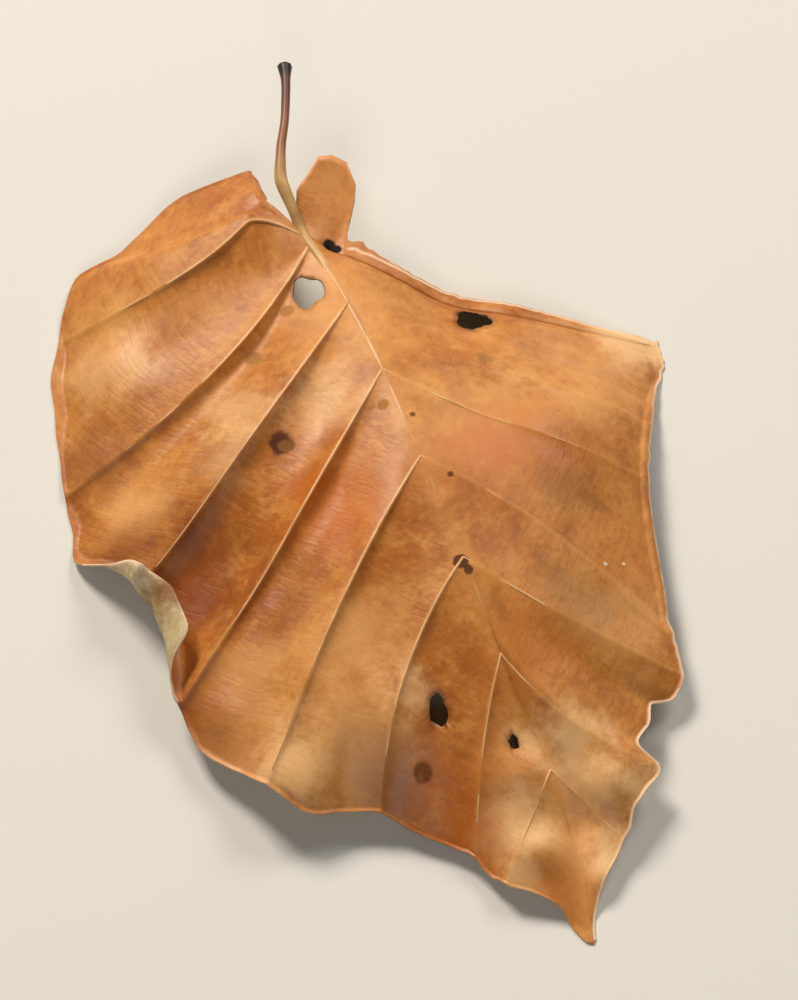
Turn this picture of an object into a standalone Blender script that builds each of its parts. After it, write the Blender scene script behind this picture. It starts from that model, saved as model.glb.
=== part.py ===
"""Dried beech leaf, one grown piece, lying on a flat surface.

The blade is built from the lines of its side veins. Each vein starts on the midrib and ends on the
margin, and the blade sags in a shallow trough between one vein and the next. The stalk leaves the
blade towards +Y and the tip points to -Y. Sizes are in millimetres until the mesh is scaled.
"""

from math import cos, exp, pi, radians, sin

import bmesh
import bpy
from mathutils import Matrix, Vector

MILLIMETRE = 0.001

# Driving sizes
BLADE_THICKNESS = 0.7
BLADE_LENGTH = 78.5
CROWN_HEIGHT = 12.0
MIDRIB_HALF_WIDTH = 1.0
MIDRIB_RISE = 0.4
LOWEST_MIDDLE = BLADE_THICKNESS / 2

# Where each pair of side veins leaves the midrib, measured from the stalk. The first entry is the
# blade's basal edge and the last is its tip.
VEIN_ROOTS = (0.0, 0.3, 1.0, 9.5, 18.5, 29.5, 41.0, 50.6, 61.8, BLADE_LENGTH)
LAST_VEIN = len(VEIN_ROOTS) - 1

# The midrib: distance from the stalk, sideways place, height
MIDRIB = (
    (0.0, -1.1, 6.7),
    (7.0, -0.3, 8.6),
    (17.5, 0.1, 10.6),
    (29.0, 0.0, CROWN_HEIGHT),
    (40.6, 0.1, 11.5),
    (49.6, 0.3, 9.2),
    (56.2, 0.8, 6.4),
    (63.2, 1.3, 3.8),
    (70.8, 0.9, 1.7),
    (BLADE_LENGTH, -0.6, 0.0),
)

# The margin as x, y and height, one row for each strip between two veins, from base to tip
LEFT_MARGIN = (
    (
        (-3.8, 8.9, 6.3),
        (-10.0, 9.7, 4.2),
        (-15.4, 7.8, 2.9),
        (-18.3, 6.6, 2.4),
        (-21.9, 6.3, 1.6),
        (-24.3, 3.6, 0.8),
    ),
    ((-26.0, 0.7, 0.3), (-27.7, -2.6, 0.0), (-29.0, -6.4, 0.0), (-30.0, -11.0, 0.6)),
    ((-31.1, -15.8, 0.8), (-31.6, -19.3, 1.1), (-32.1, -22.7, 1.7), (-29.4, -25.3, 3.1)),
    ((-27.6, -28.7, 4.0), (-26.3, -32.1, 4.0), (-26.3, -35.8, 3.8), (-27.4, -39.2, 3.5)),
    ((-28.7, -42.4, 3.3), (-28.6, -46.4, 3.3), (-26.6, -50.4, 3.9)),
    ((-24.2, -54.2, 4.4), (-21.6, -57.6, 4.2), (-18.4, -58.2, 3.4)),
    ((-15.0, -59.4, 2.7), (-12.0, -62.4, 2.2), (-9.1, -65.1, 1.9)),
    ((-8.0, -66.6, 1.9), (-7.2, -68.8, 1.8)),
    ((-6.2, -70.6, 2.4), (-4.0, -72.3, 2.2), (-2.2, -74.2, 1.4), (-1.7, -76.6, 0.3)),
    ((-1.1, -78.2, 0.0),),
)
RIGHT_MARGIN = (
    ((27.8, -19.3, 0.2),),
    ((27.5, -21.4, 0.0),),
    ((25.2, -24.6, 0.4),),
    ((22.8, -29.0, 1.9),),
    ((20.6, -34.2, 3.0), (19.3, -38.6, 3.6), (18.0, -44.4, 3.8)),
    ((17.0, -49.8, 3.5), (17.0, -52.6, 3.0)),
    (
        (16.8, -55.2, 2.5),
        (15.0, -57.2, 2.2),
        (13.0, -57.0, 2.8),
        (11.8, -59.6, 3.4),
        (9.8, -61.6, 4.0),
    ),
    ((11.0, -64.2, 3.4), (8.6, -66.3, 3.2), (6.8, -68.2, 2.9)),
    ((5.4, -70.0, 2.4), (3.1, -72.2, 1.7), (1.3, -74.3, 1.0), (0.1, -76.6, 0.3)),
    ((-0.3, -78.2, 0.0),),
)

# For each side vein: how far it bows sideways, how far it arches up between its ends, how deep the
# blade sags before the next vein, and how far the vein stands out of the blade
LEFT_VEINS = (
    (0.4, 0.3, 0.2, 0.0),
    (2.3, 3.2, 0.9, 0.3),
    (3.4, 3.6, 1.6, 0.32),
    (1.3, 3.6, 1.8, 0.32),
    (1.0, 3.0, 1.7, 0.32),
    (-0.5, 2.8, 1.3, 0.32),
    (-1.5, 1.8, 0.7, 0.3),
    (-0.5, 1.2, 0.4, 0.25),
    (0.0, 0.5, 0.2, 0.2),
    (0.0, 0.0, 0.0, 0.0),
)
RIGHT_VEINS = (
    (1.9, 1.2, 0.15, 0.0),
    (1.7, 2.0, 0.1, 0.0),
    (1.9, 2.8, 0.15, 0.0),
    (2.0, 3.0, 0.15, 0.0),
    (1.9, 2.6, 0.3, 0.12),
    (-0.2, 2.0, 0.1, 0.15),
    (1.2, 1.6, 0.2, 0.18),
    (1.8, 1.0, 0.2, 0.18),
    (0.0, 0.4, 0.2, 0.15),
    (0.0, 0.0, 0.0, 0.0),
)
# On the left the first lines run up beside the basal edge to a corner before they fan out to the margin:
# the corner, how far inside it the first vein passes, its share of the way, and the last line drawn to it
BASE_CORNER = Vector((-4.2, 3.8, 7.4))
CORNER_INSET = Vector((-0.5, -0.6, 0.0))
CORNER_SHARE = 0.14
FAN_END = 1.8
# The troughs have their full depth from this share of the way out, and lose a part of it by the margin.
# Each drops fast behind its vein and climbs slowly to the next.
TROUGH_START = 0.3
TROUGH_LOSS = 0.35
TROUGH_SKEW = 0.66
# What the side veins lose of their rise by the margin, and the midrib by the tip
VEIN_LOSS = 0.5
MIDRIB_LOSS = 0.6

# How the last of the blade turns past the margin line: vein number, length, angle up in degrees
LEFT_TURN = (
    (0.0, 0.4, 0.0),
    (2.3, 0.3, 0.0),
    (2.5, 0.9, 30.0),
    (2.72, 2.2, 90.0),
    (2.93, 4.6, 160.0),
    (3.28, 6.2, 195.0),
    (3.5, 6.2, 195.0),
    (3.72, 3.6, 140.0),
    (3.93, 1.0, 50.0),
    (4.07, 0.4, 0.0),
    (8.0, 0.3, 0.0),
    (9.0, 0.04, 0.0),
)
RIGHT_TURN = (
    (0.0, 0.4, -10.0),
    (1.5, 0.5, -20.0),
    (3.0, 1.2, -75.0),
    (4.6, 1.2, -75.0),
    (5.5, 0.5, -20.0),
    (6.0, 0.4, 0.0),
    (8.0, 0.3, 0.0),
    (9.0, 0.04, 0.0),
)
# The same past the basal edge, by the share of the way out from the stalk. On the right a small
# basal lobe reaches up beside the stalk, and beyond it the margin is turned down.
LEFT_BASE_TURN = ((0.0, 0.4, 0.0), (0.1, 0.6, -20.0), (0.3, 1.2, -60.0), (0.7, 1.2, -60.0), (1.0, 0.4, 0.0))
RIGHT_BASE_TURN = (
    (0.0, 0.4, 0.0),
    (0.02, 5.3, 12.0),
    (0.034, 6.8, 18.0),
    (0.044, 9.2, 22.0),
    (0.058, 9.0, 24.0),
    (0.074, 6.8, 24.0),
    (0.088, 3.6, 18.0),
    (0.1, 1.8, 0.0),
    (0.14, 2.9, -50.0),
    (0.3, 3.6, -95.0),
    (0.5, 4.2, -105.0),
    (0.85, 2.2, -100.0),
    (1.0, 0.4, -10.0),
)
# How far to either side of a place its edge direction is taken, in veins and as a share
MARGIN_STEP = 0.24
BASE_STEP = 0.04
TURNS = {-1: LEFT_TURN, 1: RIGHT_TURN}
BASE_TURNS = {-1: LEFT_BASE_TURN, 1: RIGHT_BASE_TURN}

# The basal lobe fans out from the stalk: up to which share it leans, and which way it leans beside the stalk
LOBE_END = 0.07
LOBE_LEAN = Vector((-0.9, 1.0, 0.0))

# Local rises and hollows of the dried blade: x, y, radius, height
CRUMPLES = (
    (-4.6, 3.0, 4.5, 1.4),
    (-21.0, -31.0, 7.0, -1.6),
    (9.5, -10.5, 5.0, -2.2),
    (-23.3, -6.5, 4.0, 1.2),
    (15.0, -30.0, 7.0, 2.0),
    (22.0, -24.0, 4.5, 1.2),
    (-26.4, -46.0, 2.4, 0.7),
    (-22.9, -55.0, 3.0, 1.2),
    (-12.5, -53.0, 5.0, 1.2),
    (-1.3, -61.8, 2.4, 1.0),
    (6.4, -65.2, 2.4, 1.2),
    (-2.5, -69.0, 2.0, 0.9),
    (2.4, -67.4, 2.0, -0.7),
    (2.8, -73.0, 1.6, 0.6),
)

# Insect holes: x, y, half length, half width, turn in degrees
HOLES = (
    (-3.2, -6.6, 2.0, 1.5, 80.0),
    (11.4, -13.0, 1.7, 1.5, -30.0),
    (-7.1, -53.7, 1.5, 0.85, 80.0),
    (-1.3, -58.6, 0.75, 0.5, 80.0),
)

# The stalk's path: x, y, height, radius
STALK = (
    (-0.4, -9.0, 8.3, 0.4),
    (-0.6, -4.0, 7.6, 0.5),
    (-1.2, 0.0, 7.2, 0.52),
    (-1.4, 2.8, 8.2, 0.55),
    (-1.6, 5.2, 9.2, 0.64),
    (-0.6, 8.4, 9.6, 0.48),
    (1.1, 12.0, 9.4, 0.42),
    (2.7, 16.2, 8.8, 0.46),
    (3.3, 18.2, 8.4, 0.74),
)
STALK_BEVEL_STEPS = 3
STALK_STEPS = 3
HOLE_SIDES = 14

# How ragged the holes' outlines are, as shares of their size
RAGGED = 0.1
FINE_RAGGED = 0.06

# The blade's thickness is taken upright where the surface normal's height is over the first of these,
# and square to the surface where it is under the second
GENTLE_SLOPE = 0.6
STEEP_SLOPE = 0.2
LEAST_MATCH = 0.7
# What comes this close to the ground lies flat on it
FLAT_SPOT = 0.05

# Grid rows between two veins, as shares of the way
ROW_SHARES = (0.0, 0.07, 0.28, 0.5, 0.72, 0.93)
# Grid columns from the midrib to the margin, as shares of the way: at the basal edge, where they stand
# close together for the basal lobe, and from the first vein on
LOBE_COLUMNS = (0.02, 0.034, 0.044, 0.058, 0.074, 0.088, 0.11)
BASE_COLUMNS = LOBE_COLUMNS + (0.16, 0.24, 0.33, 0.42, 0.52, 0.61, 0.7, 0.79, 0.87, 0.94, 1.0)
FIRST_COLUMNS = (0.03, 0.07, 0.12, 0.18, 0.24, 0.3, 0.36)
BLADE_COLUMNS = FIRST_COLUMNS + (0.42, 0.48, 0.54, 0.6, 0.66, 0.72, 0.78, 0.84, 0.89, 0.945, 1.0)
TURN_SHARES = (0.3, 0.65, 1.0)
BASE_TURN_SHARES = (0.25, 0.5, 0.75, 1.0)


def knot_slope(knots, index, part):
    """Slope of the run that starts at a knot."""
    start, end = knots[index], knots[index + 1]
    return (end[part] - start[part]) / (end[0] - start[0])


def limited_slope(knots, index, part):
    """Slope at a knot that keeps the curve from overshooting."""
    last = len(knots) - 2
    before = knot_slope(knots, max(index - 1, 0), part)
    after = knot_slope(knots, min(index, last), part)
    if before * after <= 0.0:
        return 0.0
    return 2.0 * before * after / (before + after)


def value_at(knots, place):
    """Values at a place on the smooth curves through knots, each a place and its values."""
    span = 0
    while span < len(knots) - 2 and place > knots[span + 1][0]:
        span += 1
    width = knots[span + 1][0] - knots[span][0]
    share = min(max((place - knots[span][0]) / width, 0.0), 1.0)
    rest = 1.0 - share
    values = []
    for part in range(1, len(knots[0])):
        start_pull = knot_slope(knots, span, part) if span == 0 else limited_slope(knots, span, part)
        end_pull = limited_slope(knots, span + 1, part)
        level = knots[span][part] * (1.0 + 2.0 * share) * rest**2
        level += knots[span + 1][part] * (1.0 + 2.0 * rest) * share**2
        level += width * (start_pull * share * rest**2 - end_pull * share**2 * rest)
        values.append(level)
    return values


def margin_knots(strips):
    """The margin's points with their vein numbers, spread evenly over each strip."""
    return [
        (vein + index / len(strip), *point)
        for vein, strip in enumerate(strips)
        for index, point in enumerate(strip)
    ]


MARGINS = {-1: margin_knots(LEFT_MARGIN), 1: margin_knots(RIGHT_MARGIN)}
VEINS = {-1: LEFT_VEINS, 1: RIGHT_VEINS}
VEIN_CURVES = {
    side: [(number, *curve) for number, (*curve, sag, rise) in enumerate(veins)]
    for side, veins in VEINS.items()
}
ROOT_KNOTS = list(enumerate(VEIN_ROOTS))


def midrib_point(vein):
    """Point of the midrib where the vein of this number leaves it."""
    distance = value_at(ROOT_KNOTS, vein)[0]
    sideways, height = value_at(MIDRIB, distance)
    return Vector((sideways, -distance, height))


def square_to(before, after, side):
    """Level direction square to the run between two points, out of the blade."""
    return Vector((before.y - after.y, after.x - before.x, 0.0)).normalized() * side


def crumple(x, y):
    """Height of the local rises and hollows."""
    return sum(
        height * exp(-((x - middle_x) ** 2 + (y - middle_y) ** 2) / radius**2)
        for middle_x, middle_y, radius, height in CRUMPLES
    )


def sag(side, vein, out):
    """Depth of the trough between two veins, shallow beside the midrib."""
    number = min(int(vein), LAST_VEIN)
    phase = (vein - number) ** TROUGH_SKEW
    depth = VEINS[side][number][2]
    along = min(1.0, out / TROUGH_START) * (1.0 - TROUGH_LOSS * out)
    return depth * 4.0 * phase * (1.0 - phase) * along


def beside_base(root, vein, out):
    """Start of a left line and its share of the way, where the line first runs up to the corner."""
    fade = min(max((vein - 1.0) / (FAN_END - 1.0), 0.0), 1.0)
    pull = 1.0 - fade * fade * (3.0 - 2.0 * fade)
    corner = BASE_CORNER + CORNER_INSET * min(vein, 1.0)
    to_go = max(1.0 - out / CORNER_SHARE, 0.0)
    late = out * out * (1.0 + CORNER_SHARE) / (out + CORNER_SHARE)
    return root.lerp(corner, pull * (1.0 - to_go**2)), out + (late - out) * pull


def sheet_point(side, vein, out):
    """Point of the blade's middle surface inside the margin line."""
    start = midrib_point(vein)
    end = Vector(value_at(MARGINS[side], vein))
    bow, arch = value_at(VEIN_CURVES[side], vein)
    reach = out
    if side < 0:
        start, reach = beside_base(start, vein, out)
    swell = 4.0 * reach * (1.0 - reach)
    point = start.lerp(end, reach) - square_to(start, end, side) * bow * swell
    point.z += arch * swell - sag(side, vein, out) + crumple(point.x, point.y)
    return point


def turned(start, outward, length, degrees, share):
    """Point along an arc that leaves the margin line outwards and turns up by an angle."""
    if abs(degrees) < 1.0:
        return start + outward * length * share
    radius = length / radians(degrees)
    angle = radians(degrees) * share
    return start + outward * radius * sin(angle) + Vector((0.0, 0.0, radius * (1.0 - cos(angle))))


def margin_outward(side, vein):
    """Level direction that points out of the blade at the margin."""
    before = Vector(value_at(MARGINS[side], max(vein - MARGIN_STEP, 0.0)))
    after = Vector(value_at(MARGINS[side], min(vein + MARGIN_STEP, LAST_VEIN)))
    return square_to(before, after, side)


def base_outward(side, out):
    """Level direction that points out of the blade past its basal edge."""
    before = sheet_point(side, 0.0, max(out - BASE_STEP, 0.0))
    after = sheet_point(side, 0.0, min(out + BASE_STEP, 1.0))
    beside_stalk = max(0.0, 1.0 - out / LOBE_END)
    return (square_to(before, after, side) + LOBE_LEAN * beside_stalk).normalized()


def blade_point(side, vein, out):
    """Point of the blade's middle surface. Below vein 0 and past an out of 1 the edge turns."""
    inner_vein = max(vein, 0.0)
    inner_out = min(out, 1.0)
    point = sheet_point(side, inner_vein, inner_out)
    if out > 1.0:
        length, degrees = value_at(TURNS[side], inner_vein)
        point = turned(point, margin_outward(side, inner_vein), length, degrees, out - 1.0)
    if vein < 0.0:
        length, degrees = value_at(BASE_TURNS[side], inner_out)
        point = turned(point, base_outward(side, inner_out), length, degrees, -vein)
    point.z = max(point.z, LOWEST_MIDDLE)
    return point


def row_numbers():
    """Vein numbers of the grid's rows, close together beside each vein."""
    rows = [-share for share in reversed(BASE_TURN_SHARES)]
    for vein in range(LAST_VEIN):
        rows += [vein + share for share in ROW_SHARES]
    return rows + [float(LAST_VEIN)]


def column_places():
    """Side of each column, and its share of the way out at the base and in the blade."""
    turns = [1.0 + share for share in TURN_SHARES]
    outs = list(zip((*BASE_COLUMNS, *turns), (*BLADE_COLUMNS, *turns)))
    left = [(-1, *out) for out in reversed(outs)]
    return left + [(-1, 0.0, 0.0)] + [(1, *out) for out in outs]


def rib_rise(side, vein, out, point):
    """How far the midrib and the side veins stand out of the blade at a grid point."""
    if vein < 0.0:
        return 0.0
    taper = 1.0 - MIDRIB_LOSS * vein / LAST_VEIN
    from_midrib = abs(point.x - midrib_point(vein).x)
    rise = MIDRIB_RISE * taper * max(0.0, 1.0 - (from_midrib / MIDRIB_HALF_WIDTH) ** 2)
    if vein == int(vein) and out < 1.0:
        rise = max(rise, VEINS[side][int(vein)][3] * (1.0 - VEIN_LOSS * out))
    return rise


def thickness_way(normal):
    """Which way the blade has its thickness: upright on gentle slopes and square to steep ones."""
    steep = min(max((GENTLE_SLOPE - normal.z) / (GENTLE_SLOPE - STEEP_SLOPE), 0.0), 1.0)
    way = Vector((0.0, 0.0, 1.0)).lerp(normal, steep).normalized()
    return way / max(way.dot(normal), LEAST_MATCH)


def make_blade():
    """The blade as a closed sheet, both faces split into the same triangles."""
    rows = row_numbers()
    columns = column_places()
    mesh = bmesh.new()
    bmesh.ops.create_grid(mesh, x_segments=len(columns) - 1, y_segments=len(rows) - 1, size=1.0)
    rises = []
    for index, vertex in enumerate(mesh.verts):
        row, column = divmod(index, len(columns))
        side, base_out, blade_out = columns[column]
        out = base_out + (blade_out - base_out) * min(max(rows[row], 0.0), 1.0)
        vertex.co = blade_point(side, rows[row], out)
        rises.append(rib_rise(side, rows[row], out, vertex.co))
    bmesh.ops.reverse_faces(mesh, faces=mesh.faces)
    bmesh.ops.triangulate(mesh, faces=mesh.faces, quad_method="SHORT_EDGE")
    mesh.normal_update()
    number = mesh.verts.layers.int.new("number")
    for index, vertex in enumerate(mesh.verts):
        vertex[number] = index
    middles = [(vertex.co.copy(), thickness_way(vertex.normal)) for vertex in mesh.verts]
    lower_verts = mesh.verts[:]
    raised = bmesh.ops.extrude_face_region(mesh, geom=mesh.faces[:])["geom"]
    half = BLADE_THICKNESS / 2
    for vertex in lower_verts:
        middle, normal = middles[vertex[number]]
        vertex.co = middle - normal * half
        if vertex.co.z < FLAT_SPOT:
            vertex.co.z = 0.0
    for vertex in raised:
        if isinstance(vertex, bmesh.types.BMVert):
            middle, normal = middles[vertex[number]]
            vertex.co = middle + normal * (half + rises[vertex[number]])
    bmesh.ops.triangulate(mesh, faces=mesh.faces)
    bmesh.ops.recalc_face_normals(mesh, faces=mesh.faces)
    return mesh


def make_stalk():
    """The stalk as a round tube along its path, thickest near the blade and at its end scar."""
    knots = [(number, *place) for number, place in enumerate(STALK)]
    curve = bpy.data.curves.new("stalk_path", "CURVE")
    curve.dimensions = "3D"
    curve.bevel_depth = 1.0
    curve.bevel_resolution = STALK_BEVEL_STEPS
    curve.use_fill_caps = True
    spline = curve.splines.new("POLY")
    spline.points.add((len(STALK) - 1) * STALK_STEPS)
    for index, point in enumerate(spline.points):
        x, y, height, radius = value_at(knots, index / STALK_STEPS)
        point.co = (x, y, height, 1.0)
        point.radius = radius
    guide = bpy.data.objects.new("stalk_path", curve)
    mesh = bmesh.new()
    mesh.from_mesh(guide.to_mesh())
    bpy.data.objects.remove(guide)
    bmesh.ops.remove_doubles(mesh, verts=mesh.verts, dist=0.01)
    return mesh


def make_hole_cutter():
    """One upright plug with a ragged outline for each insect hole, clear of one another."""
    mesh = bmesh.new()
    for number, (x, y, half_length, half_width, turn) in enumerate(HOLES):
        ring = bmesh.ops.create_circle(mesh, cap_ends=True, segments=HOLE_SIDES, radius=1.0)["verts"]
        for index, vertex in enumerate(ring):
            angle = 2.0 * pi * index / HOLE_SIDES
            ragged = 1.0 + RAGGED * sin(3.0 * angle + number) + FINE_RAGGED * sin(5.0 * angle + 2.0 * number)
            vertex.co = Vector((half_length * cos(angle), half_width * sin(angle), 0.0)) * ragged
        place = Matrix.Translation((x, y, 0.0)) @ Matrix.Rotation(radians(turn), 4, "Z")
        bmesh.ops.transform(mesh, matrix=place, verts=ring)
        cap = ring[0].link_faces[:]
        raised = bmesh.ops.extrude_face_region(mesh, geom=cap)["geom"]
        top = [item for item in raised if isinstance(item, bmesh.types.BMVert)]
        bmesh.ops.translate(mesh, vec=(0.0, 0.0, 2.0 * CROWN_HEIGHT), verts=top)
    bmesh.ops.recalc_face_normals(mesh, faces=mesh.faces)
    return mesh


def placed_object(name, mesh, centre):
    """An object of the mesh, in metres, with the leaf's middle over the origin."""
    mesh.transform(Matrix.Scale(MILLIMETRE, 4) @ Matrix.Translation(-centre))
    data = bpy.data.meshes.new(name)
    mesh.to_mesh(data)
    mesh.free()
    made = bpy.data.objects.new(name, data)
    bpy.context.collection.objects.link(made)
    return made


def middle_of(meshes):
    """Middle of the box round the meshes, seen from above."""
    places = [vertex.co for mesh in meshes for vertex in mesh.verts]
    middle_x = (min(place.x for place in places) + max(place.x for place in places)) / 2
    middle_y = (min(place.y for place in places) + max(place.y for place in places)) / 2
    return Vector((middle_x, middle_y, 0.0))


def join_by(leaf, other, operation):
    """Join another shape to the leaf, or cut it away. The other shape stays as a hidden guide."""
    joint = leaf.modifiers.new(other.name, "BOOLEAN")
    joint.object = other
    joint.operation = operation
    joint.solver = "EXACT"
    other.hide_render = True
    other.display_type = "WIRE"


def leaf_material():
    """Dry leaf: orange tan with a slight satin shine."""
    material = bpy.data.materials.new("dry_leaf")
    material.use_nodes = True
    shader = material.node_tree.nodes["Principled BSDF"]
    shader.inputs["Base Color"].default_value = (0.58, 0.22, 0.055, 1.0)
    shader.inputs["Roughness"].default_value = 0.5
    shader.inputs["Metallic"].default_value = 0.0
    return material


def build_leaf():
    """The whole leaf: the blade with its stalk joined on and its insect holes cut out."""
    for leftover in list(bpy.data.objects):
        bpy.data.objects.remove(leftover)
    blade = make_blade()
    stalk = make_stalk()
    cutter = make_hole_cutter()
    centre = middle_of((blade, stalk))
    leaf = placed_object("leaf", blade, centre)
    leaf.data.materials.append(leaf_material())
    join_by(leaf, placed_object("stalk_guide", stalk, centre), "UNION")
    join_by(leaf, placed_object("hole_guide", cutter, centre), "DIFFERENCE")


build_leaf()
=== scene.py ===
from math import atan2, cos, exp, floor, pi, radians, sin

import bmesh
import bpy
from mathutils import Matrix, Vector, noise
from mathutils.kdtree import KDTree


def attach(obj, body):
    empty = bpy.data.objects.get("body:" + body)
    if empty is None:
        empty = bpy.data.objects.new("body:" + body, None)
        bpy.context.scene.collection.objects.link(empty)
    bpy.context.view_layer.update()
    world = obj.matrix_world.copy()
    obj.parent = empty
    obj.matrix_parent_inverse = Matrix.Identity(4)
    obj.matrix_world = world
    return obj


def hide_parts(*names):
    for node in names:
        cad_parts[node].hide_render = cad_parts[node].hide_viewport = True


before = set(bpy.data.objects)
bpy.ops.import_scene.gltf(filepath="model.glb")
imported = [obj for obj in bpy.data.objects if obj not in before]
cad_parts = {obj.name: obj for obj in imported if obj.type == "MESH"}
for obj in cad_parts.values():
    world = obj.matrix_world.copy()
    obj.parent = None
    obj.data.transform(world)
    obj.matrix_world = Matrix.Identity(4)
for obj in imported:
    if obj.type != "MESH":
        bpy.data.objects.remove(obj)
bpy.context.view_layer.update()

# The blade is one sheet of dried leaf tissue, a fifth of a millimetre thick. It dried domed, pleated along
# its side veins and sagging between them, with the left margin curled up and over. Insects bit holes in it.
# Sizes are in millimetres in the leaf's own frame: the stalk joins at the origin and the tip is at -Y.
MILLIMETRE = 0.001
BLADE_THICKNESS = 0.18
BLADE_LENGTH = 78.5
# The middle of the blade is nowhere lower than the first, and the second lets the leaf down to the floor
LOWEST_MIDDLE = 0.35
LYING_DOWN = 0.25
# How far from the stalk each side vein leaves the midrib. The first is the basal edge and the last is the tip
VEIN_ROOTS = (0.0, 0.3, 1.0, 9.5, 18.5, 29.5, 41.0, 50.6, 61.8, BLADE_LENGTH)
LAST_VEIN = len(VEIN_ROOTS) - 1

# The midrib: distance from the stalk, sideways place, height
MIDRIB = (
    (0.0, -1.1, 6.7),
    (7.0, -0.3, 8.6),
    (17.5, 0.1, 10.6),
    (29.0, 0.0, 12.0),
    (40.6, 0.1, 11.5),
    (49.6, 0.3, 9.2),
    (56.2, 0.8, 6.4),
    (63.2, 1.3, 3.8),
    (70.8, 0.9, 1.7),
    (BLADE_LENGTH, -0.6, 0.0),
)

# The margin as x, y and height, one row for each strip between two side veins, from base to tip
LEFT_MARGIN = (
    (
        (-3.8, 8.9, 6.3),
        (-10.0, 9.7, 4.2),
        (-15.4, 7.8, 2.9),
        (-18.3, 6.6, 2.4),
        (-21.9, 6.3, 1.6),
        (-24.3, 3.6, 0.8),
    ),
    ((-26.0, 0.7, 0.3), (-27.7, -2.6, 0.0), (-29.0, -6.4, 0.0), (-30.0, -11.0, 0.6)),
    ((-31.1, -15.8, 0.8), (-31.6, -19.3, 1.1), (-32.1, -22.7, 1.7), (-29.4, -25.3, 3.1)),
    ((-27.6, -28.7, 4.0), (-26.3, -32.1, 4.0), (-26.3, -35.8, 3.8), (-27.4, -39.2, 3.5)),
    ((-28.7, -42.4, 3.3), (-28.6, -46.4, 3.3), (-26.6, -50.4, 3.9)),
    ((-24.2, -54.2, 4.4), (-21.6, -57.6, 4.2), (-18.4, -58.2, 3.4)),
    ((-15.0, -59.4, 2.7), (-12.0, -62.4, 2.2), (-9.1, -65.1, 1.9)),
    ((-8.0, -66.6, 1.9), (-7.2, -68.8, 1.8)),
    ((-6.2, -70.6, 2.4), (-4.0, -72.3, 2.2), (-2.2, -74.2, 1.4), (-1.7, -76.6, 0.3)),
    ((-1.1, -78.2, 0.0),),
)
RIGHT_MARGIN = (
    ((27.8, -19.3, 0.2),),
    ((27.5, -21.4, 0.0),),
    ((25.2, -24.6, 0.4),),
    ((22.8, -29.0, 1.9),),
    ((20.6, -34.2, 3.0), (19.3, -38.6, 3.6), (18.0, -44.4, 3.8)),
    ((17.0, -49.8, 3.5), (17.0, -52.6, 3.0)),
    (
        (16.8, -55.2, 2.5),
        (15.0, -57.2, 2.2),
        (13.0, -57.0, 2.8),
        (11.8, -59.6, 3.4),
        (9.8, -61.6, 4.0),
    ),
    ((11.0, -64.2, 3.4), (8.6, -66.3, 3.2), (6.8, -68.2, 2.9)),
    ((5.4, -70.0, 2.4), (3.1, -72.2, 1.7), (1.3, -74.3, 1.0), (0.1, -76.6, 0.3)),
    ((-0.3, -78.2, 0.0),),
)
# How far the margin strays, the share of its length by which the turned basal edge does, and how close the
# nicks of each are. The last number of a noise's place only picks a part of the pattern
RAGGED_MARGIN = 0.22
RAGGED_LOBE = 0.16
NICKS_IN_STRIP = 4.3
NICKS_IN_BASE = 48.0

# For each side vein: how far it bows sideways, how far it arches up between its ends, how deep the blade sags
# before the next vein, and how far the vein stands out of the blade
SAG_DEPTH, VEIN_RISE = 2, 3
LEFT_VEINS = (
    (0.4, 0.3, 0.2, 0.0),
    (2.3, 3.2, 0.9, 0.3),
    (3.4, 3.6, 1.6, 0.32),
    (1.3, 3.6, 1.8, 0.32),
    (1.0, 3.0, 1.7, 0.32),
    (-0.5, 2.8, 1.3, 0.32),
    (-1.5, 1.8, 0.7, 0.3),
    (-0.5, 1.2, 0.4, 0.25),
    (0.0, 0.5, 0.2, 0.2),
    (0.0, 0.0, 0.0, 0.0),
)
RIGHT_VEINS = (
    (1.9, 1.2, 0.15, 0.0),
    (1.7, 2.0, 0.1, 0.0),
    (1.9, 2.8, 0.15, 0.0),
    (2.0, 3.0, 0.15, 0.0),
    (1.9, 2.6, 0.3, 0.12),
    (-0.2, 2.0, 0.1, 0.15),
    (1.2, 1.6, 0.2, 0.18),
    (1.8, 1.0, 0.2, 0.18),
    (0.0, 0.4, 0.2, 0.15),
    (0.0, 0.0, 0.0, 0.0),
)
# On the left the first lines run up beside the basal edge to a corner before they fan out to the margin:
# the corner, how far inside it the first vein passes, its share of the way, and the last line drawn to it
BASE_CORNER = Vector((-4.2, 3.8, 7.4))
CORNER_INSET = Vector((-0.5, -0.6, 0.0))
CORNER_SHARE = 0.14
FAN_END = 1.8
# The trough between two veins: where on the way out it is full, how much of it is lost by the margin, and how
# it leans towards the vein before it
TROUGH_START = 0.3
TROUGH_LOSS = 0.35
TROUGH_SKEW = 0.66

# How the last of the blade turns past the margin line: vein number, length, angle up in degrees
LEFT_TURN = (
    (0.0, 0.4, 0.0),
    (2.3, 0.3, 0.0),
    (2.5, 0.9, 30.0),
    (2.72, 2.2, 90.0),
    (2.93, 4.6, 160.0),
    (3.28, 6.2, 195.0),
    (3.5, 6.2, 195.0),
    (3.72, 3.6, 140.0),
    (3.93, 1.0, 50.0),
    (4.07, 0.4, 0.0),
    (8.0, 0.3, 0.0),
    (9.0, 0.04, 0.0),
)
RIGHT_TURN = (
    (0.0, 0.4, -10.0),
    (1.5, 0.5, -20.0),
    (3.0, 1.2, -75.0),
    (4.6, 1.2, -75.0),
    (5.5, 0.5, -20.0),
    (6.0, 0.4, 0.0),
    (8.0, 0.3, 0.0),
    (9.0, 0.04, 0.0),
)
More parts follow.
